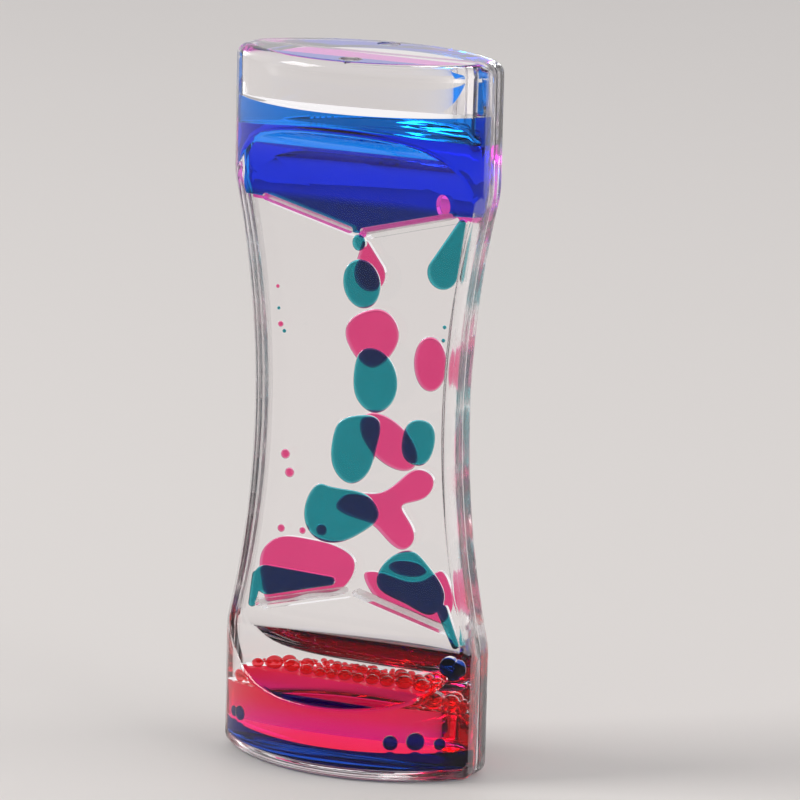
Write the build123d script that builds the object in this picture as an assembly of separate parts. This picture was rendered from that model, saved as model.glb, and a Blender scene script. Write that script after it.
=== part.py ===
from build123d import *
from math import asin, degrees, sqrt
import os

os.makedirs("parts", exist_ok=True)

# Case, in millimetres: X is the width, Y the depth (front is -Y), Z the height
HEIGHT = 140.0
WIDTH = 54.0
DEPTH = 32.5
SIDE_DEPTH = 7.0
WAIST_WIDTH = 43.5
SHOULDER_HEIGHT = 25.5
SHOULDER_RADIUS = 18.0
WINDOW_DEPTH = 10.0
WINDOW_END = 29.0
SCOOP_RADIUS = 15.6

# Roundings of the outside
SIDE_ROUNDING = 2.0
RIM_ROUNDING = 2.4
WINDOW_ROUNDING = 0.9

# Walls, and the plate between the two cells, which lies in a rebate of both halves
WAIST_WALL = 2.5
SIDE_WALL = 1.8
BULGE_WALL = 1.8
END_WALL = 1.8
WINDOW_WALL = 1.5
DIVIDER = 1.4
DIVIDER_INSET = 1.2
SEAM_CHAMFER = 0.15
CELL_RIM_ROUNDING = 1.5
CELL_CORNER_ROUNDING = 1.0

# Funnel and roof ribs, measured on their centre lines
RIB_THICKNESS = 1.3
RIB_INNER_X = 1.5
RIB_OUTER_X = 19.8
RIB_INNER_Z = 105.75
RIB_OUTER_Z = 110.45
REAR_RIB_DROP = 1.2

# Fill plugs in the top wall
PLUG_X = 1.4
PLUG_Y = 10.9
PLUG_SHANK_RADIUS = 1.7
PLUG_HEAD_RADIUS = 2.3
PLUG_HEAD_HEIGHT = 0.9
PLUG_RECESS = 0.15

# Liquids
BLUE_UPPER_LEVEL = 130.0
BLUE_LOWER_LEVEL = 5.9
PINK_UPPER_LEVEL = 124.2
PINK_LOWER_LEVEL = 12.5
NECK_HALF_WIDTH = 0.5
NECK_BOTTOM = 0.5
SIDE_MENISCUS = 0.4
OIL_FILM = 0.2
DROP_RIM = 1.1
TIP_RIM = 0.6
BEAD_GAP = 0.05
FOAM_ROW_DEPTH = 6.0

# Derived values
MIDDLE = HEIGHT / 2
HALF_DIVIDER = DIVIDER / 2
CELL_FACE = WINDOW_DEPTH / 2 - WINDOW_WALL
BULGE_SAG = (DEPTH - SIDE_DEPTH) / 2
BULGE_RADIUS = ((WIDTH / 2) ** 2 + BULGE_SAG**2) / (2 * BULGE_SAG)
SIDE_TAPER = 90 - degrees(asin(WIDTH / 2 / BULGE_RADIUS))
FAR = 60.0


# Building blocks of the case

def hourglass(side_inset, waist_inset):
    """Front view of the case, running past both ends and drawn in by two insets."""
    half = WIDTH / 2 - side_inset
    waist = WAIST_WIDTH / 2 - waist_inset
    low = -FAR
    high = HEIGHT + FAR
    upper = HEIGHT - SHOULDER_HEIGHT
    outline = Line((half, low), (half, SHOULDER_HEIGHT))
    outline += ThreePointArc((half, SHOULDER_HEIGHT), (waist, MIDDLE), (half, upper))
    outline += Polyline((half, upper), (half, high), (-half, high), (-half, upper))
    outline += ThreePointArc((-half, upper), (-waist, MIDDLE), (-half, SHOULDER_HEIGHT))
    outline += Polyline((-half, SHOULDER_HEIGHT), (-half, low), (half, low))
    face = make_face(outline)
    shoulders = [v for v in face.vertices() if low < v.Y < high]
    return Plane.XZ * fillet(shoulders, SHOULDER_RADIUS)


def lens(half_width, wall):
    """Plan of an end block: two bulges of one radius, joined by flat sides."""
    radius = BULGE_RADIUS - wall
    front = DEPTH / 2 - wall
    side = front - radius + sqrt(radius**2 - half_width**2)
    outline = ThreePointArc((-half_width, -side), (0, -front), (half_width, -side))
    outline += Line((half_width, -side), (half_width, side))
    outline += ThreePointArc((half_width, side), (0, front), (-half_width, side))
    outline += Line((-half_width, side), (-half_width, -side))
    return make_face(outline)


def lens_prism(half_width, wall, low, high, corner, rim):
    """End-block plan over a height range, rounded along its corners and rims."""
    prism = Pos(0, 0, low) * extrude(lens(half_width, wall), high - low)
    prism = fillet(prism.edges().filter_by(Axis.Z), corner)
    ends = prism.faces().filter_by(Axis.Z)
    return fillet(ends.edges(), rim)


def scoop(face, radius):
    """Space in front of a window and of the two hollows that lead out of it."""
    upper = HEIGHT - WINDOW_END
    out = -face - radius
    outline = Line((-face, WINDOW_END), (-face, upper))
    outline += RadiusArc((-face, upper), (out, upper + radius), -radius)
    top = upper + radius
    bottom = WINDOW_END - radius
    outline += Polyline((out, top), (-FAR, top), (-FAR, bottom), (out, bottom))
    outline += RadiusArc((out, bottom), (-face, WINDOW_END), -radius)
    return extrude(Plane.YZ * make_face(outline), WIDTH, both=True)


def case_outside():
    """Whole case as one block, before it is split into its three layers."""
    profile = hourglass(0, 0)
    core = extrude(profile, SIDE_DEPTH / 2, both=True)
    flank = extrude(Pos(0, -SIDE_DEPTH / 2, 0) * profile, BULGE_SAG + 1, taper=SIDE_TAPER)
    mass = core + flank + mirror(flank, Plane.XZ)
    side_edges = [e for e in mass.edges() if abs(abs(e.center().Y) - SIDE_DEPTH / 2) < 0.01]
    side_edges = [e for e in side_edges if e.bounding_box().size.Y < 0.01]
    mass = fillet(side_edges, SIDE_ROUNDING)
    mass &= lens_prism(WIDTH / 2, 0, 0, HEIGHT, SIDE_ROUNDING, RIM_ROUNDING)
    window = scoop(WINDOW_DEPTH / 2, SCOOP_RADIUS)
    mass = mass - window - mirror(window, Plane.XZ)
    frame = [e for e in mass.edges() if e.length > 50 and abs(e.center().Y) >= WINDOW_DEPTH / 2 - 0.01]
    frame = [e for e in frame if WINDOW_ROUNDING * 2 < e.center().Z < HEIGHT - WINDOW_ROUNDING * 2]
    return fillet(frame, WINDOW_ROUNDING)


def rib_arm(inner, outer):
    """One straight rib with round ends, from the divider out through the window wall."""
    x_run = outer[0] - inner[0]
    z_run = outer[1] - inner[1]
    length = sqrt(x_run**2 + z_run**2)
    middle = Pos((inner[0] + outer[0]) / 2, (inner[1] + outer[1]) / 2)
    tilt = Rot(0, 0, degrees(asin(z_run / length)))
    face = Plane.XZ * middle * tilt * SlotCenterToCenter(length, RIB_THICKNESS)
    return extrude(face, WINDOW_DEPTH / 2)


def ribs(drop):
    """Funnel above and roof below: a right arm each, copied to the left."""
    top = -drop
    bottom = HEIGHT - drop
    funnel = rib_arm((RIB_INNER_X, top + RIB_INNER_Z), (RIB_OUTER_X, top + RIB_OUTER_Z))
    roof = rib_arm((RIB_INNER_X, bottom - RIB_INNER_Z), (RIB_OUTER_X, bottom - RIB_OUTER_Z))
    right = funnel + roof
    return right + mirror(right, Plane.YZ)


def cell_space():
    """Hollow of the front half, without its ribs."""
    space = extrude(hourglass(SIDE_WALL, WAIST_WALL), DEPTH)
    half_width = WIDTH / 2 - SIDE_WALL
    high = HEIGHT - END_WALL
    space &= lens_prism(half_width, BULGE_WALL, END_WALL, high, CELL_CORNER_ROUNDING, CELL_RIM_ROUNDING)
    space -= scoop(CELL_FACE, SCOOP_RADIUS + WINDOW_WALL)
    return space & front_of(HALF_DIVIDER)


def front_of(distance):
    """Everything on the front side of a plane this far in front of the middle."""
    return Pos(0, -distance - FAR, MIDDLE) * Box(4 * FAR, 2 * FAR, 4 * FAR)


def front_half(outside):
    """Front half of the block, with a fine chamfer that shows as the seam."""
    half = outside & front_of(0)
    joint = half.faces().sort_by(Axis.Y)[-1]
    return chamfer(joint.edges(), SEAM_CHAMFER)


def divider_plate():
    """Flat plate between the halves, reaching into the rebate around both cells."""
    plate = extrude(hourglass(DIVIDER_INSET, DIVIDER_INSET), HALF_DIVIDER, both=True)
    plate &= Pos(0, 0, MIDDLE) * Box(2 * WIDTH, DIVIDER, HEIGHT - 2 * DIVIDER_INSET)
    ends = plate.faces().filter_by(Axis.Z)
    return fillet(ends.edges().filter_by(Axis.Y), RIM_ROUNDING)


def plug_at(x):
    """Stepped fill plug of the front half, its head sunk just below the top face."""
    head_top = HEIGHT - PLUG_RECESS
    shank_low = HEIGHT - END_WALL
    head_low = HEIGHT - PLUG_HEAD_HEIGHT
    shank = Cylinder(PLUG_SHANK_RADIUS, head_low - shank_low, align=(Align.CENTER, Align.CENTER, Align.MIN))
    head = Cylinder(PLUG_HEAD_RADIUS, head_top - head_low, align=(Align.CENTER, Align.CENTER, Align.MIN))
    return Pos(x, -PLUG_Y, shank_low) * shank + Pos(x, -PLUG_Y, head_low) * head


def plug_seat(x):
    """Stepped hole for a plug, open to the top face."""
    over = Cylinder(PLUG_HEAD_RADIUS, 2 * PLUG_RECESS, align=(Align.CENTER, Align.CENTER, Align.MIN))
    return plug_at(x) + Pos(x, -PLUG_Y, HEIGHT - PLUG_RECESS) * over


# Building blocks of the liquids, all drawn in the front half

def flat_drop(face, rim):
    """Drop squeezed between window and divider, with a thin film of oil on both sides."""
    thickness = CELL_FACE - HALF_DIVIDER - 2 * OIL_FILM
    drop = extrude(Plane.XZ.offset(HALF_DIVIDER + OIL_FILM) * face, thickness)
    return fillet(drop.faces().filter_by(Axis.Y).edges(), rim)


def oval(x, z, half_width, half_height, tilt=0):
    """Elliptic outline at a place in the front view."""
    return Pos(x, z) * Rot(0, 0, tilt) * Ellipse(half_width, half_height)


def smooth(*points):
    """Closed outline through a few points of the front view."""
    return make_face(Spline(*points, periodic=True))


def drip(x, z, radius, tip_x, tip_z, tip_radius):
    """Hanging drop outline: a round bulb that runs up to a narrow round tip."""
    bulb = Pos(x, z) * Circle(radius)
    tip = Pos(tip_x, tip_z) * Circle(tip_radius)
    return make_hull(bulb.edges() + tip.edges())


def upper_liquid(space, level, drop):
    """Liquid held up by the funnel, with a neck that hangs in its outlet."""
    edge = WIDTH / 2
    outer_z = RIB_OUTER_Z - drop
    inner_z = RIB_INNER_Z - drop
    neck_z = inner_z - NECK_BOTTOM
    right = [(edge, level), (edge, outer_z + SIDE_MENISCUS), (RIB_OUTER_X, outer_z), (RIB_INNER_X, inner_z)]
    right += [(NECK_HALF_WIDTH, neck_z)]
    left = [(-x, z) for x, z in reversed(right)]
    face = make_face(Polyline(*right, *left, close=True))
    return extrude(Plane.XZ * face, DEPTH) & space


def lower_liquid(space, level):
    """Liquid that has settled on the floor."""
    return space & Pos(0, 0, level / 2) * Box(2 * WIDTH, 2 * DEPTH, level)


def beads(level, places):
    """Round beads that lie on a liquid surface, each given by its place and radius."""
    return Part() + [Pos(x, y, level + BEAD_GAP + radius) * Sphere(radius) for x, y, radius in places]


def fine_droplets(places):
    """Small round droplets halfway through the cell, each given by its place and radius."""
    depth = -(CELL_FACE + HALF_DIVIDER) / 2
    return Part() + [Pos(x, depth, z) * Sphere(radius) for x, z, radius in places]


# Case

outside = case_outside()
half_block = front_half(outside)
plate = divider_plate()
cell = cell_space()
front_ribs = ribs(0)
rear_ribs = ribs(REAR_RIB_DROP)
front_cell = cell - front_ribs
rear_cell = cell - rear_ribs

nodes = {
    "front_shell": half_block - front_cell - plug_seat(PLUG_X) - plate,
    "divider_plate": plate,
    "front_fill_plug": plug_at(PLUG_X),
}
mirrored = {
    "rear_shell": half_block - rear_cell - plug_seat(-PLUG_X) - plate,
    "rear_fill_plug": plug_at(-PLUG_X),
}

# Blue liquid in the front cell

blue_drops = {
    "blue_drop_2": oval(1.0, 95.4, 4.0, 4.8, 11),
    "blue_drop_3": smooth(
        (3, 83.1), (6.9, 81.7), (9.1, 77.3), (7.6, 72.1), (4.3, 70.4), (1, 72.1), (-0.3, 77.3)
    ),
    "blue_drop_4": smooth(
        (1, 69.6), (5.6, 68.4), (5, 63.5), (2.9, 57.8), (-0.5, 55.8), (-3.8, 57.8), (-4.4, 65)
    ),
    "blue_drop_5": smooth((14, 70.2), (17, 69), (17.4, 65.5), (14.6, 61.2), (11.3, 62), (10.6, 66.5)),
    "blue_drop_6": smooth(
        (-6.3, 55), (-1, 54.6), (4, 53.4), (5.8, 50.4), (2.6, 46.6), (-3, 43.7), (-7.4, 43.9), (-10.4, 48.4)
    ),
    "blue_roof_pool_right": smooth(
        (5.6, 37.1), (9.2, 42.9), (13.6, 44.1), (16.5, 42), (20.4, 34.8), (18, 32), (12.4, 33.2)
    ),
}
blue_tips = {
    "blue_drop_1": oval(0.35, 103.4, 1.4, 1.6),
    "blue_side_drop": drip(18.3, 99.3, 3.2, 22.2, 109.3, 0.8),
    "blue_outlet_drop": oval(22, 21.7, 2.0, 2.2),
    "blue_roof_pool_left": drip(-18.2, 34.3, 3.1, -4.2, 35.9, 1.0),
}
blue_drains = {
    "blue_roof_pool_left": drip(-21.4, 29.2, 0.9, -20.4, 34.8, 1.2),
    "blue_roof_pool_right": drip(23.1, 26.6, 0.9, 20.1, 33.3, 1.3),
}
blue_places = [(-20.5, -4.6, 1.5), (-22.4, -2.2, 1.1), (12.6, -9.4, 1.5), (16.6, -7, 1.8), (20.4, -4.4, 1.2)]
blue_dust = [(-15.6, 84.3, 0.4), (-16.9, 88.7, 0.35), (18.9, 88.8, 0.4), (18.7, 86.2, 0.4)]

blue = {name: flat_drop(face, DROP_RIM) for name, face in blue_drops.items()}
blue |= {name: flat_drop(face, TIP_RIM) for name, face in blue_tips.items()}
for name, face in blue_drains.items():
    blue[name] = blue[name] + flat_drop(face, TIP_RIM) - front_ribs
trapped_oil = extrude(Plane.XZ * oval(18.4, 112.5, 1.4, 2.2), DEPTH)
blue["blue_upper_reservoir"] = upper_liquid(front_cell, BLUE_UPPER_LEVEL, 0) - trapped_oil
blue["blue_lower_pool"] = lower_liquid(front_cell, BLUE_LOWER_LEVEL)
blue["blue_settled_beads"] = beads(BLUE_LOWER_LEVEL, blue_places)
blue["blue_fine_droplets"] = fine_droplets(blue_dust)

# Pink liquid in the rear cell

pink_drops = {
    "pink_drop_2": smooth(
        (1.9, 90.1), (6.5, 88.9), (7.9, 86), (5.7, 80.7), (2.2, 78.5), (-1.3, 80.4), (-3.6, 85.4)
    ),
    "pink_drop_3": oval(6.2, 64.4, 7.2, 4.2, -36),
    "pink_side_drop": oval(14.8, 80.7, 3.5, 5.4),
}
pink_tips = {
    "pink_drop_1": drip(1.45, 96.9, 3.4, 0.4, 102.6, 0.8),
    "pink_drop_4": smooth(
        (-4.6, 50.9), (-2, 53.2), (4.2, 54), (8.8, 57), (13.4, 59.8), (16, 58.6), (14.6, 54.4), (9.6, 51.9),
        (11.8, 48.4), (12.2, 45.2), (10.2, 43.5), (6.8, 44.8), (3.6, 47.4), (-2, 48.7)
    ),
    "pink_roof_pool_left": smooth(
        (-20, 40.6), (-17.2, 42.6), (-10.6, 43.1), (-4, 42.3), (-0.4, 40), (-2.8, 34), (-10.3, 31.9),
        (-19.6, 29.4), (-20.9, 33)
    ),
    "pink_roof_pool_right": smooth(
        (2.4, 38.2), (6, 38.3), (11, 37.4), (15.4, 38.6), (18.4, 40.4), (20.6, 37.4), (21, 32.6), (18.4, 29.6),
        (11, 31.2), (4, 33.4)
    ),
}
landed_drop = oval(11.1, 39.8, 4.2, 1.7)
foam_row = [(-21, 1.3), (-17.6, 1.9), (-13.6, 1.7), (-10.2, 1.4), (-7.2, 1.2), (-4.6, 1.1), (-1.8, 1.4)]
foam_row += [(1.2, 1.3), (4.2, 1.4), (7.4, 1.5), (11, 1.8), (14.8, 1.7), (18.4, 1.6), (21.6, 1.3)]
rear_row = [(-15.6, 1.6), (-11.6, 1.5), (-3, 1.3), (3, 1.5), (9.4, 1.6), (13, 1.4), (16.8, 1.5)]
pink_dust = [(-8, 45, 1.2), (-16.2, 59.3, 1), (-15.2, 55.7, 1), (-18.6, 92.4, 0.4), (-17.8, 85, 0.6)]
pink_dust += [(-16.8, 44.3, 0.8), (-12.1, 44.4, 0.7)]

pink = {name: flat_drop(face, DROP_RIM) for name, face in pink_drops.items()}
pink |= {name: flat_drop(face, TIP_RIM) for name, face in pink_tips.items()}
pink["pink_roof_pool_left"] -= rear_ribs
pink["pink_roof_pool_right"] = pink["pink_roof_pool_right"] + flat_drop(landed_drop, TIP_RIM) - rear_ribs
pink["pink_upper_reservoir"] = upper_liquid(rear_cell, PINK_UPPER_LEVEL, REAR_RIB_DROP)
pink["pink_lower_pool"] = lower_liquid(rear_cell, PINK_LOWER_LEVEL)
foam = [(x, -HALF_DIVIDER - BEAD_GAP - radius, radius) for x, radius in foam_row]
foam += [(x, -FOAM_ROW_DEPTH, radius) for x, radius in rear_row]
pink["pink_foam_beads"] = beads(PINK_LOWER_LEVEL, foam)
pink["pink_fine_droplets"] = fine_droplets(pink_dust)

# Carrier oil fills what the dyed liquid leaves free

blue["front_oil"] = front_cell - list(blue.values())
pink["rear_oil"] = rear_cell - list(pink.values())

# The rear half is drawn in front and mirrored to the back

nodes |= blue
for name, body in (mirrored | pink).items():
    nodes[name] = mirror(body, Plane.XZ)

for name, body in nodes.items():
    export_step(body, f"parts/{name}.step")
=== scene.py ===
"""Looks of the liquid motion timer: clear case, dyed liquids, foam, studio and camera."""

import random
from math import cos, radians, sin

import bmesh
import bpy
import numpy as np
from mathutils import Matrix, Vector


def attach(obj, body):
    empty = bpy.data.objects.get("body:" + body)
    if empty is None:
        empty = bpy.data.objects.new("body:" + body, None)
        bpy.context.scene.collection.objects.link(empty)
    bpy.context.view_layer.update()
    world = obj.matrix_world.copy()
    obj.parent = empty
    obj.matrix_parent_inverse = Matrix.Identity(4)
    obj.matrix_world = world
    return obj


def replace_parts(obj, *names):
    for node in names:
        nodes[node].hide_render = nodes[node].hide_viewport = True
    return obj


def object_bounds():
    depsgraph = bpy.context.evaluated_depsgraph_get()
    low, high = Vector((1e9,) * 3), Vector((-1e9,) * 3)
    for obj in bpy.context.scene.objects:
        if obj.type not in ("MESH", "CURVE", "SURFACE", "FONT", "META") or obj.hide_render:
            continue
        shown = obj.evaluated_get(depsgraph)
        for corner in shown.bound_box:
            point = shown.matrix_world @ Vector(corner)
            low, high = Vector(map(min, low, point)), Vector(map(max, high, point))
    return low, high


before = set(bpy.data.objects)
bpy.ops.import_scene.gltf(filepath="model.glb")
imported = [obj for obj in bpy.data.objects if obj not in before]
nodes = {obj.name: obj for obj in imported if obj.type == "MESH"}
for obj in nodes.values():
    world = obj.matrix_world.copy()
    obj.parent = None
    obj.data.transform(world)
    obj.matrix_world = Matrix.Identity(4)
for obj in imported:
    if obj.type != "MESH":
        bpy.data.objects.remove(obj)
cad_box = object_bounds()
scene = bpy.context.scene

MM = 0.001

# Case: the outer sizes come from the bounds of model.glb, the others are as in the solids
HALF_WIDTH, HALF_DEPTH, HEIGHT = cad_box[1]
MIDDLE = HEIGHT / 2
CENTRE = Vector((0, 0, MIDDLE))
BULGE_RADIUS = 34.96 * MM
BULGE_WALL = 1.8 * MM
BULGE_AXIS = HALF_DEPTH - BULGE_RADIUS
CELL_HALF_WIDTH = 25.2 * MM
WINDOW_FACE = 5 * MM
WINDOW_WALL = 1.5 * MM
WINDOW_END = 29 * MM
SCOOP_RADIUS = 15.6 * MM
SCOOP_AXIS = WINDOW_FACE + SCOOP_RADIUS
WAIST_HALF_WIDTH = 21.75 * MM
WAIST_RISE = HALF_WIDTH - WAIST_HALF_WIDTH
WAIST_HALF_CHORD = 44.5 * MM
HALF_DIVIDER = 0.7 * MM

# How the faces of the case are told apart
OUTSIDE, WET, JOINT, SATIN = range(4)
HALF_WALL = WINDOW_WALL / 2
TOUCH = 0.01 * MM
FAR_AWAY = 1
LEVEL_SLOPE = 0.99
SATIN_SLOPE_WAIST = 0.55
SATIN_SLOPE_ENDS = 0.85

# Clear materials: refraction against what surrounds each surface, and the share of glare that is kept
CASE_IOR = 1.52
WALL_IOR = 1.06
LIQUID_IOR = 0.93
CASE_GLARE = 0.45
SATIN_CLEARNESS = 0.9
CASE_TINT = (1, 0.985, 0.99)
WALL_TINT = (1, 1, 1)
SATIN_TINT = (1, 0.97, 0.98)
WELD_TINT = (0.95, 0.90, 0.92)

# Colours that a body of dyed liquid lets through, some with painted shade or painted highlights, and
# the heights where they change
BLUE_DROP = (0.010, 0.30, 0.36)
# Drop rims are paler: partly thinner dye at the rounded edge, partly a painted highlight along the
# outline
BLUE_THIN_RIM_HIGHLIGHT = (0.30, 0.78, 0.82)
PINK_DROP = (0.92, 0.075, 0.28)
PINK_THIN_RIM_HIGHLIGHT = (0.98, 0.60, 0.76)
RIM_END = 0.8
# Painted shade: the funnel colours are darker than the block colours, so each reservoir is painted
# darker below the line where the window ends
BLUE_BLOCK = (0.004, 0.25, 0.95)
BLUE_SHADED_FUNNEL = (0.008, 0.24, 0.46)
PINK_BLOCK = (0.88, 0.10, 0.75)
PINK_SHADED_FUNNEL = (0.85, 0.10, 0.50)
BLUE_FLOOR = (0.004, 0.08, 0.60)
# Painted highlight: the pink pool is painted magenta and brighter below the magenta line, and red above
# it
PINK_FLOOR_TOP = (0.92, 0.02, 0.07)
PINK_FLOOR_PAINTED_HIGHLIGHT = (0.97, 0.015, 0.30)
PINK_FOAM = (0.85, 0.06, 0.08)
PAINTED_SHADE_LINE = HEIGHT - WINDOW_END
PAINTED_SHADE_SPREAD = 0.8 * MM
PAINTED_HIGHLIGHT_LINE = 7 * MM
PAINTED_HIGHLIGHT_SPREAD = 2.5 * MM

# Variation of the surfaces: scale of the noise, and the limits that it runs between
SOFT_DETAIL = 2
FINE_DETAIL = 3
EVEN = (1, 1, 1)
CASE_SCALE = 60
CASE_ROUGHNESS = (0, 0.02)
WAVE_SCALE = 70
OUTSIDE_WAVE = 0.015 * MM
WALL_WAVE = 0.02 * MM
SATIN_SCALE = 1500
SATIN_STREAK = (1, 1, 0.04)
SATIN_ROUGHNESS = (0.05, 0.4)
HAZE_SCALE = 400
HAZE_SHARE = (0.1, 0.7)
JOINT_SCALE = 50
JOINT_SHADE = (0.97, 1)
DYE_SCALE = 120
DYE_SHADE = (0.92, 1.06)
LIQUID_SCALE = 90
LIQUID_ROUGHNESS = (0, 0.015)
FLOOR_SCALE = 8
FLOOR_ROUGHNESS = (0.55, 0.65)

# Oil film between a body and the walls that hold it
FILM = 0.12 * MM
PLATE_FILM = 0.03 * MM
MERGE_DISTANCE = 0.001 * MM
SHARP_ANGLE = 30

# Fine foam on the pink pool
PINK_LEVEL = 12.5 * MM
FOAM_GAP = 0.05 * MM
FOAM_FRONT = 3.5 * MM
FOAM_BACK = 15 * MM
FOAM_SMALLEST = 0.4 * MM
FOAM_LARGEST = 1.3 * MM
FOAM_ATTEMPTS = 3000
FOAM_SEED = 7
FOAM_SUBDIVISIONS = 3

# Floor, room and lamps, in metres and watts
FLOOR_COLOUR = (0.68, 0.64, 0.61)
FLOOR_DROP = 0.05 * MM
FLOOR_HALF_SIZE = 6
SKY_BEHIND_CAMERA = (0.45, 0.45, 0.46)
SKY_BEHIND_TIMER = (0.95, 0.94, 0.95)
SKY_TOP = (0.40, 0.41, 0.43)
WALL_FADE = (-0.8, 0)
TOP_FADE = (0.3, 0.8)
KEY_PLACE = (-1.62, -0.9, 1.38)
KEY_SIZE = (0.9, 0.9)
KEY_POWER = 32
FILL_PLACE = (1.8, 0.18, 1.02)
FILL_SIZE = (2, 1.2)
FILL_POWER = 20
LIGHT_BOUNCES = 32

# Camera: where it stands as seen from the middle of the timer, in degrees, and its lens in mm
CAMERA_AZIMUTH = 26.7
CAMERA_ELEVATION = 12.2
CAMERA_ROLL = 1.4
CAMERA_DISTANCE = 1040 * MM
CAMERA_LENS = 241.5
CAMERA_SENSOR = 36
CAMERA_NEAREST = 10 * MM
AIM_RIGHT = 7.36 * MM
AIM_UP = 1.95 * MM


# Shader nodes

def new_material(name):
    """New material, its node tree and its surface shader."""
    material = bpy.data.materials.new(name)
    material.use_nodes = True
    tree = material.node_tree
    return material, tree, tree.nodes["Principled BSDF"]


def noise(tree, scale, detail, stretch):
    """Soft noise in the space of the object, which may be drawn out along an axis."""
    place = tree.nodes.new("ShaderNodeTexCoord")
    mapping = tree.nodes.new("ShaderNodeMapping")
    texture = tree.nodes.new("ShaderNodeTexNoise")
    mapping.inputs["Scale"].default_value = stretch
    texture.inputs["Scale"].default_value = scale
    texture.inputs["Detail"].default_value = detail
    tree.links.new(place.outputs["Object"], mapping.inputs["Vector"])
    tree.links.new(mapping.outputs["Vector"], texture.inputs["Vector"])
    return texture.outputs["Fac"]


def varied(tree, limits, scale, detail=SOFT_DETAIL, stretch=EVEN):
    """Value that wanders between two limits over a surface."""
    spread = tree.nodes.new("ShaderNodeMapRange")
    spread.inputs["To Min"].default_value, spread.inputs["To Max"].default_value = limits
    tree.links.new(noise(tree, scale, detail, stretch), spread.inputs["Value"])
    return spread.outputs["Result"]


def axis_value(tree, space, axis):
    """One coordinate of the shaded point or of its normal, or of a direction of the world."""
    place = tree.nodes.new("ShaderNodeTexCoord")
    split = tree.nodes.new("ShaderNodeSeparateXYZ")
    tree.links.new(place.outputs[space], split.inputs["Vector"])
    return split.outputs[axis]


def feed(tree, colour, socket):
    """Give a socket a plain colour or the result of another node."""
    if isinstance(colour, tuple):
        socket.default_value = (*colour, 1)
    else:
        tree.links.new(colour, socket)


def fade(tree, value, start, end, first, second):
    """Blend from one colour to another while a value runs from start to end."""
    step = tree.nodes.new("ShaderNodeMapRange")
    step.inputs["From Min"].default_value = start
    step.inputs["From Max"].default_value = end
    blend = tree.nodes.new("ShaderNodeMix")
    blend.data_type = "RGBA"
    tree.links.new(value, step.inputs["Value"])
    tree.links.new(step.outputs["Result"], blend.inputs["Factor"])
    feed(tree, first, blend.inputs["A"])
    feed(tree, second, blend.inputs["B"])
    return blend.outputs["Result"]


def waves(tree, surface, height):
    """Slight waviness of a moulded surface."""
    bump = tree.nodes.new("ShaderNodeBump")
    bump.inputs["Strength"].default_value = 1
    bump.inputs["Distance"].default_value = height
    tree.links.new(noise(tree, WAVE_SCALE, SOFT_DETAIL, EVEN), bump.inputs["Height"])
    tree.links.new(bump.outputs["Normal"], surface.inputs["Normal"])


# Materials

def clear(name, tint, ior, wave):
    """Clear moulding, with the refraction of the side that a surface faces."""
    material, tree, surface = new_material(name)
    surface.inputs["Base Color"].default_value = (*tint, 1)
    surface.inputs["Specular Tint"].default_value = (CASE_GLARE, CASE_GLARE, CASE_GLARE, 1)
    surface.inputs["Transmission Weight"].default_value = 1
    surface.inputs["IOR"].default_value = ior
    roughness = varied(tree, CASE_ROUGHNESS, CASE_SCALE, FINE_DETAIL)
    tree.links.new(roughness, surface.inputs["Roughness"])
    waves(tree, surface, wave)
    return material


def streaked(name, tint, ior):
    """Clear moulding with a fine satin drawn along the height, as left by the mould."""
    material, tree, surface = new_material(name)
    surface.inputs["Base Color"].default_value = (*tint, 1)
    surface.inputs["Transmission Weight"].default_value = SATIN_CLEARNESS
    surface.inputs["IOR"].default_value = ior
    roughness = varied(tree, SATIN_ROUGHNESS, SATIN_SCALE, stretch=SATIN_STREAK)
    tree.links.new(roughness, surface.inputs["Roughness"])
    return material


def frosted(name, tint):
    """Weld between two mouldings, which shows as a pale haze."""
    material, tree, surface = new_material(name)
    tree.nodes.remove(surface)
    see = tree.nodes.new("ShaderNodeBsdfTransparent")
    haze = tree.nodes.new("ShaderNodeBsdfTranslucent")
    blend = tree.nodes.new("ShaderNodeMixShader")
    haze.inputs["Color"].default_value = (*tint, 1)
    tree.links.new(varied(tree, HAZE_SHARE, HAZE_SCALE, FINE_DETAIL), blend.inputs["Fac"])
    tree.links.new(see.outputs["BSDF"], blend.inputs[1])
    tree.links.new(haze.outputs["BSDF"], blend.inputs[2])
    tree.links.new(blend.outputs["Shader"], tree.nodes["Material Output"].inputs["Surface"])
    return material


def bonded(name):
    """Faces that are welded to a neighbour, which light passes unbent."""
    material, tree, surface = new_material(name)
    tree.nodes.remove(surface)
    see = tree.nodes.new("ShaderNodeBsdfTransparent")
    tint = tree.nodes.new("ShaderNodeCombineColor")
    shade = varied(tree, JOINT_SHADE, JOINT_SCALE)
    for channel in ("Red", "Green", "Blue"):
        tree.links.new(shade, tint.inputs[channel])
    tree.links.new(tint.outputs["Color"], see.inputs["Color"])
    tree.links.new(see.outputs["BSDF"], tree.nodes["Material Output"].inputs["Surface"])
    return material


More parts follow.
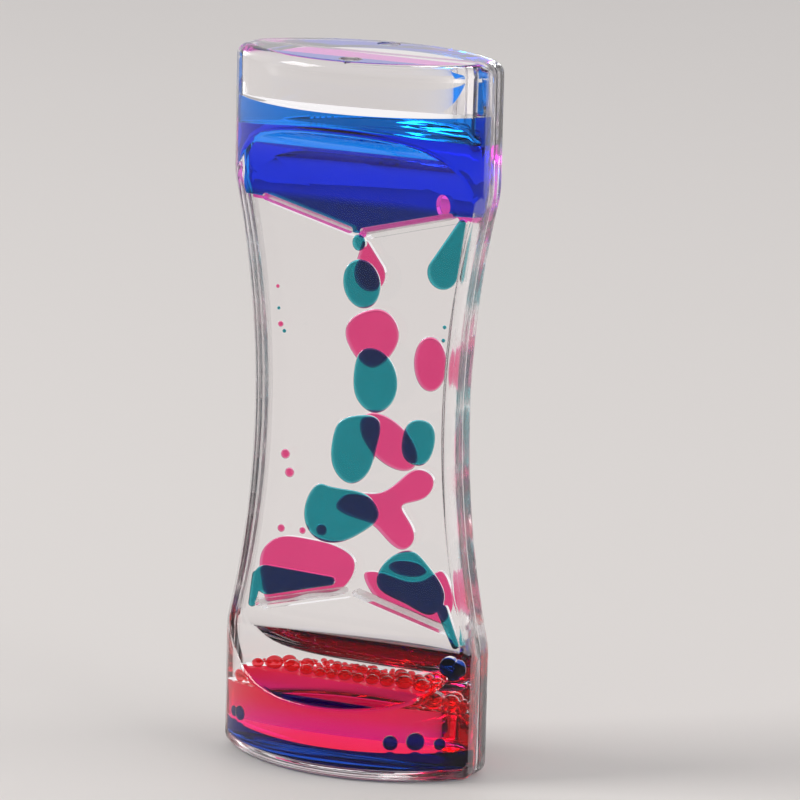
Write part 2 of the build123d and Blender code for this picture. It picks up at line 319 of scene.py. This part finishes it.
def liquid(name, colour, above=None, line=0, spread=0, rim=None):
    """Dyed liquid, which may turn to another colour above a height, as painted shade or a painted
    highlight, and be paler at its rim, partly thinner dye and partly a painted highlight.
    """
    material, tree, surface = new_material(name)
    dye = colour
    # A colour change at a height paints shade or a highlight into the dye
    if above:
        height = axis_value(tree, "Object", "Z")
        dye = fade(tree, height, line - spread, line + spread, colour, above)
    # The paler rim is partly thinner dye and partly a painted highlight
    if rim:
        flatness = tree.nodes.new("ShaderNodeMath")
        flatness.operation = "ABSOLUTE"
        tree.links.new(axis_value(tree, "Normal", "Y"), flatness.inputs[0])
        dye = fade(tree, flatness.outputs["Value"], 0, RIM_END, rim, dye)
    shade = tree.nodes.new("ShaderNodeHueSaturation")
    feed(tree, dye, shade.inputs["Color"])
    tree.links.new(varied(tree, DYE_SHADE, DYE_SCALE), shade.inputs["Value"])
    tree.links.new(shade.outputs["Color"], surface.inputs["Base Color"])
    tree.links.new(varied(tree, LIQUID_ROUGHNESS, LIQUID_SCALE), surface.inputs["Roughness"])
    surface.inputs["Transmission Weight"].default_value = 1
    surface.inputs["IOR"].default_value = LIQUID_IOR
    return material


# Meshes

def merged(node):
    """Mesh of a node for editing, its faces joined where they meet."""
    work = bmesh.new()
    work.from_mesh(nodes[node].data)
    bmesh.ops.remove_doubles(work, verts=work.verts, dist=MERGE_DISTANCE)
    return work


def mesh_from(name, work, material):
    """Finished mesh with one material, from an edited one."""
    mesh = bpy.data.meshes.new(name)
    work.to_mesh(mesh)
    work.free()
    mesh.materials.append(material)
    return mesh


def new_piece(name, mesh):
    """Object for a mesh that stays with the case."""
    piece = bpy.data.objects.new(name, mesh)
    scene.collection.objects.link(piece)
    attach(piece, "case")
    return piece


# Halves of the case

def centres_and_normals(mesh):
    """Middle and direction of every face, as two arrays."""
    middles = np.zeros(len(mesh.polygons) * 3)
    normals = np.zeros(len(mesh.polygons) * 3)
    mesh.polygons.foreach_get("center", middles)
    mesh.polygons.foreach_get("normal", normals)
    return middles.reshape(-1, 3), normals.reshape(-1, 3)


def half_width_at(z):
    """Half width of the case at a height, by its waist arc and straight ends."""
    radius = (WAIST_HALF_CHORD**2 + WAIST_RISE**2) / (2 * WAIST_RISE)
    from_middle = np.minimum(np.abs(z - MIDDLE), WAIST_HALF_CHORD)
    return WAIST_HALF_WIDTH + radius - np.sqrt(radius**2 - from_middle**2)


def depth_below_outside(points):
    """Roughly how far points lie below the outer faces of the case."""
    x, y, z = np.abs(points[:, 0]), np.abs(points[:, 1]), points[:, 2]
    from_middle = np.abs(z - MIDDLE)
    bulge = BULGE_RADIUS - np.hypot(x, y - BULGE_AXIS)
    ends = MIDDLE - from_middle
    sides = half_width_at(z) - x
    past_window = from_middle - (MIDDLE - WINDOW_END)
    scoop = np.hypot(y - SCOOP_AXIS, past_window) - SCOOP_RADIUS
    window = np.where(past_window > 0, scoop, WINDOW_FACE - y)
    window = np.where(past_window > SCOOP_RADIUS, FAR_AWAY, window)
    return np.minimum.reduce([bulge, ends, sides, window])


def case_half(name, shell, oil, materials):
    """One half of the case, its faces sorted into outside, wet walls, welded joints and satin sides."""
    mesh = nodes[shell].data.copy()
    mesh.materials.clear()
    for material in materials:
        mesh.materials.append(material)
    points, normals = centres_and_normals(mesh)
    inside = depth_below_outside(points) > HALF_WALL
    depth = np.abs(points[:, 1])
    level = np.abs(normals[:, 1]) > LEVEL_SLOPE
    joint_face = (depth < HALF_DIVIDER + TOUCH) & (level | inside)
    in_waist = np.abs(points[:, 2] - MIDDLE) < WAIST_HALF_CHORD
    slope = np.where(in_waist, SATIN_SLOPE_WAIST, SATIN_SLOPE_ENDS)
    side_face = (np.abs(normals[:, 0]) > slope) & (depth < WINDOW_FACE)
    kind = np.where(inside, WET, np.where(side_face, SATIN, OUTSIDE))
    kind = np.where(joint_face, JOINT, kind)
    mesh.polygons.foreach_set("material_index", kind.astype(np.int32))
    mesh.update()
    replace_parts(new_piece(name, mesh), shell, oil)


# Bodies with a film of oil around them

def drawn_in(name, node, film, material):
    """Body drawn in from its neighbours by a thin film."""
    work = merged(node)
    work.normal_update()
    for vertex in work.verts:
        vertex.co -= vertex.normal * film
    mesh = mesh_from(name, work, material)
    mesh.shade_smooth()
    mesh.set_sharp_from_angle(angle=radians(SHARP_ANGLE))
    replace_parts(new_piece(name, mesh), node)


# Foam

def bead_places(node):
    """Middle and radius of each round bead of a node."""
    work = merged(node)
    places = []
    left = set(work.verts)
    while left:
        reached = {left.pop()}
        edge = set(reached)
        while edge:
            edge = {e.other_vert(v) for v in edge for e in v.link_edges} - reached
            reached |= edge
        left -= reached
        spots = np.array([v.co for v in reached])
        low, high = spots.min(axis=0), spots.max(axis=0)
        places.append((Vector((low + high) / 2), float(high[2] - low[2]) / 2))
    work.free()
    return places


def fits_rear_cell(middle, radius):
    """Whether a bead at this place clears the walls of the rear cell."""
    room = radius + FOAM_GAP
    from_bulge = (Vector((middle.x, middle.y)) - Vector((0, BULGE_AXIS))).length
    from_scoop = (Vector((middle.y, middle.z)) - Vector((SCOOP_AXIS, WINDOW_END))).length
    clear_of_bulge = from_bulge < BULGE_RADIUS - BULGE_WALL - room
    clear_of_scoop = from_scoop > SCOOP_RADIUS + WINDOW_WALL + room
    clear_of_sides = abs(middle.x) < CELL_HALF_WIDTH - room
    return clear_of_bulge and clear_of_scoop and clear_of_sides


def foam(name, node, material):
    """Fine foam that fills the gaps between the larger beads on the pink pool."""
    draw = random.Random(FOAM_SEED)
    taken = bead_places(node)
    work = bmesh.new()
    for _ in range(FOAM_ATTEMPTS):
        radius = draw.uniform(FOAM_SMALLEST, FOAM_LARGEST)
        x = draw.uniform(-CELL_HALF_WIDTH, CELL_HALF_WIDTH)
        y = draw.uniform(FOAM_FRONT, FOAM_BACK)
        middle = Vector((x, y, PINK_LEVEL + FOAM_GAP + radius))
        if not fits_rear_cell(middle, radius):
            continue
        if any((middle - other).length < radius + other_radius for other, other_radius in taken):
            continue
        taken.append((middle, radius))
        place = Matrix.Translation(middle)
        bmesh.ops.create_icosphere(work, subdivisions=FOAM_SUBDIVISIONS, radius=radius, matrix=place)
    mesh = mesh_from(name, work, material)
    mesh.shade_smooth()
    new_piece(name, mesh)


# Stage, light and camera

def pale_floor():
    """Wide matt floor just below the timer."""
    material, tree, surface = new_material("pale_floor")
    surface.inputs["Base Color"].default_value = (*FLOOR_COLOUR, 1)
    tree.links.new(varied(tree, FLOOR_ROUGHNESS, FLOOR_SCALE), surface.inputs["Roughness"])
    work = bmesh.new()
    bmesh.ops.create_grid(work, x_segments=1, y_segments=1, size=FLOOR_HALF_SIZE)
    floor = bpy.data.objects.new("floor", mesh_from("floor", work, material))
    scene.collection.objects.link(floor)
    floor.location.z = -FLOOR_DROP


def studio_world():
    """Pale room with a bright wall behind the timer and a darker one behind the camera."""
    world = bpy.data.worlds.new("studio")
    world.use_nodes = True
    tree = world.node_tree
    towards_back = axis_value(tree, "Generated", "Y")
    upwards = axis_value(tree, "Generated", "Z")
    walls = fade(tree, towards_back, *WALL_FADE, SKY_BEHIND_CAMERA, SKY_BEHIND_TIMER)
    room = fade(tree, upwards, *TOP_FADE, walls, SKY_TOP)
    tree.links.new(room, tree.nodes["Background"].inputs["Color"])
    scene.world = world


def softbox(name, place, size, power):
    """Rectangular studio lamp that faces the middle of the timer."""
    lamp = bpy.data.lights.new(name, "AREA")
    lamp.shape = "RECTANGLE"
    lamp.size, lamp.size_y = size
    lamp.energy = power
    holder = bpy.data.objects.new(name, lamp)
    scene.collection.objects.link(holder)
    holder.location = place
    holder.rotation_euler = (CENTRE - Vector(place)).to_track_quat("-Z", "Y").to_euler()


def studio_camera():
    """Long lens that looks slightly down on the front and the right side."""
    turn = radians(CAMERA_AZIMUTH)
    lift = radians(CAMERA_ELEVATION)
    back = Vector((sin(turn) * cos(lift), -cos(turn) * cos(lift), sin(lift)))
    right = Vector((cos(turn), sin(turn), 0))
    up = Vector((-sin(turn) * sin(lift), cos(turn) * sin(lift), cos(lift)))
    place = CENTRE + back * CAMERA_DISTANCE
    aim = CENTRE + right * AIM_RIGHT + up * AIM_UP
    heading = (aim - place).to_track_quat("-Z", "Y").to_matrix().to_4x4()
    roll = Matrix.Rotation(radians(CAMERA_ROLL), 4, "Z")
    lens = bpy.data.cameras.new("camera")
    lens.lens = CAMERA_LENS
    lens.sensor_width = CAMERA_SENSOR
    lens.clip_start = CAMERA_NEAREST
    camera = bpy.data.objects.new("camera", lens)
    scene.collection.objects.link(camera)
    camera.matrix_world = Matrix.Translation(place) @ heading @ roll
    scene.camera = camera


# Case

clear_case = clear("clear_case", CASE_TINT, CASE_IOR, OUTSIDE_WAVE)
wet_wall = clear("wet_wall", WALL_TINT, WALL_IOR, WALL_WAVE)
satin_side = streaked("satin_side", SATIN_TINT, CASE_IOR)
weld = frosted("weld_haze", WELD_TINT)
joint = bonded("welded_joint")

case_half("front_case_half", "front_shell", "front_oil", [clear_case, wet_wall, weld, satin_side])
case_half("rear_case_half", "rear_shell", "rear_oil", [clear_case, wet_wall, joint, satin_side])
drawn_in("divider_sheet", "divider_plate", PLATE_FILM, wet_wall)
for name in ("front_fill_plug", "rear_fill_plug"):
    nodes[name].data.materials[0] = wet_wall

# Liquids

# Drop rims are partly thinner dye and partly a painted highlight
blue_drop = liquid("blue_drop_dye_and_rim_highlight", BLUE_DROP, rim=BLUE_THIN_RIM_HIGHLIGHT)
pink_drop = liquid("pink_drop_dye_and_rim_highlight", PINK_DROP, rim=PINK_THIN_RIM_HIGHLIGHT)
# The reservoirs carry painted shade: darker in the funnel part than in the block above it
blue_shaded_reservoir = liquid("blue_reservoir_dye_and_painted_shade", BLUE_SHADED_FUNNEL, BLUE_BLOCK, PAINTED_SHADE_LINE, PAINTED_SHADE_SPREAD)
pink_shaded_reservoir = liquid("pink_reservoir_dye_and_painted_shade", PINK_SHADED_FUNNEL, PINK_BLOCK, PAINTED_SHADE_LINE, PAINTED_SHADE_SPREAD)
blue_floor = liquid("blue_floor_dye", BLUE_FLOOR)
# The pink pool carries a painted highlight: magenta low down
pink_floor = liquid("pink_floor_dye_and_painted_highlight", PINK_FLOOR_PAINTED_HIGHLIGHT, PINK_FLOOR_TOP, PAINTED_HIGHLIGHT_LINE, PAINTED_HIGHLIGHT_SPREAD)
pink_foam = liquid("pink_foam_dye", PINK_FOAM)

pools = {
    "blue_upper_reservoir": blue_shaded_reservoir,
    "blue_lower_pool": blue_floor,
    "blue_roof_pool_left": blue_drop,
    "blue_roof_pool_right": blue_drop,
    "pink_upper_reservoir": pink_shaded_reservoir,
    "pink_lower_pool": pink_floor,
    "pink_roof_pool_left": pink_drop,
    "pink_roof_pool_right": pink_drop,
}
for name, material in pools.items():
    drawn_in(name + "_liquid", name, FILM, material)

for name, node in nodes.items():
    if name.startswith("blue_"):
        node.data.materials[0] = blue_drop
    if name.startswith("pink_"):
        node.data.materials[0] = pink_drop
for name in ("blue_outlet_drop", "blue_settled_beads"):
    nodes[name].data.materials[0] = blue_floor
nodes["pink_foam_beads"].data.materials[0] = pink_foam
foam("pink_fine_foam", "pink_foam_beads", pink_foam)

# Studio

pale_floor()
studio_world()
softbox("key", KEY_PLACE, KEY_SIZE, KEY_POWER)
softbox("fill", FILL_PLACE, FILL_SIZE, FILL_POWER)
studio_camera()

scene.view_settings.view_transform = "Standard"
scene.cycles.max_bounces = LIGHT_BOUNCES
scene.cycles.transmission_bounces = LIGHT_BOUNCES
scene.cycles.transparent_max_bounces = LIGHT_BOUNCES
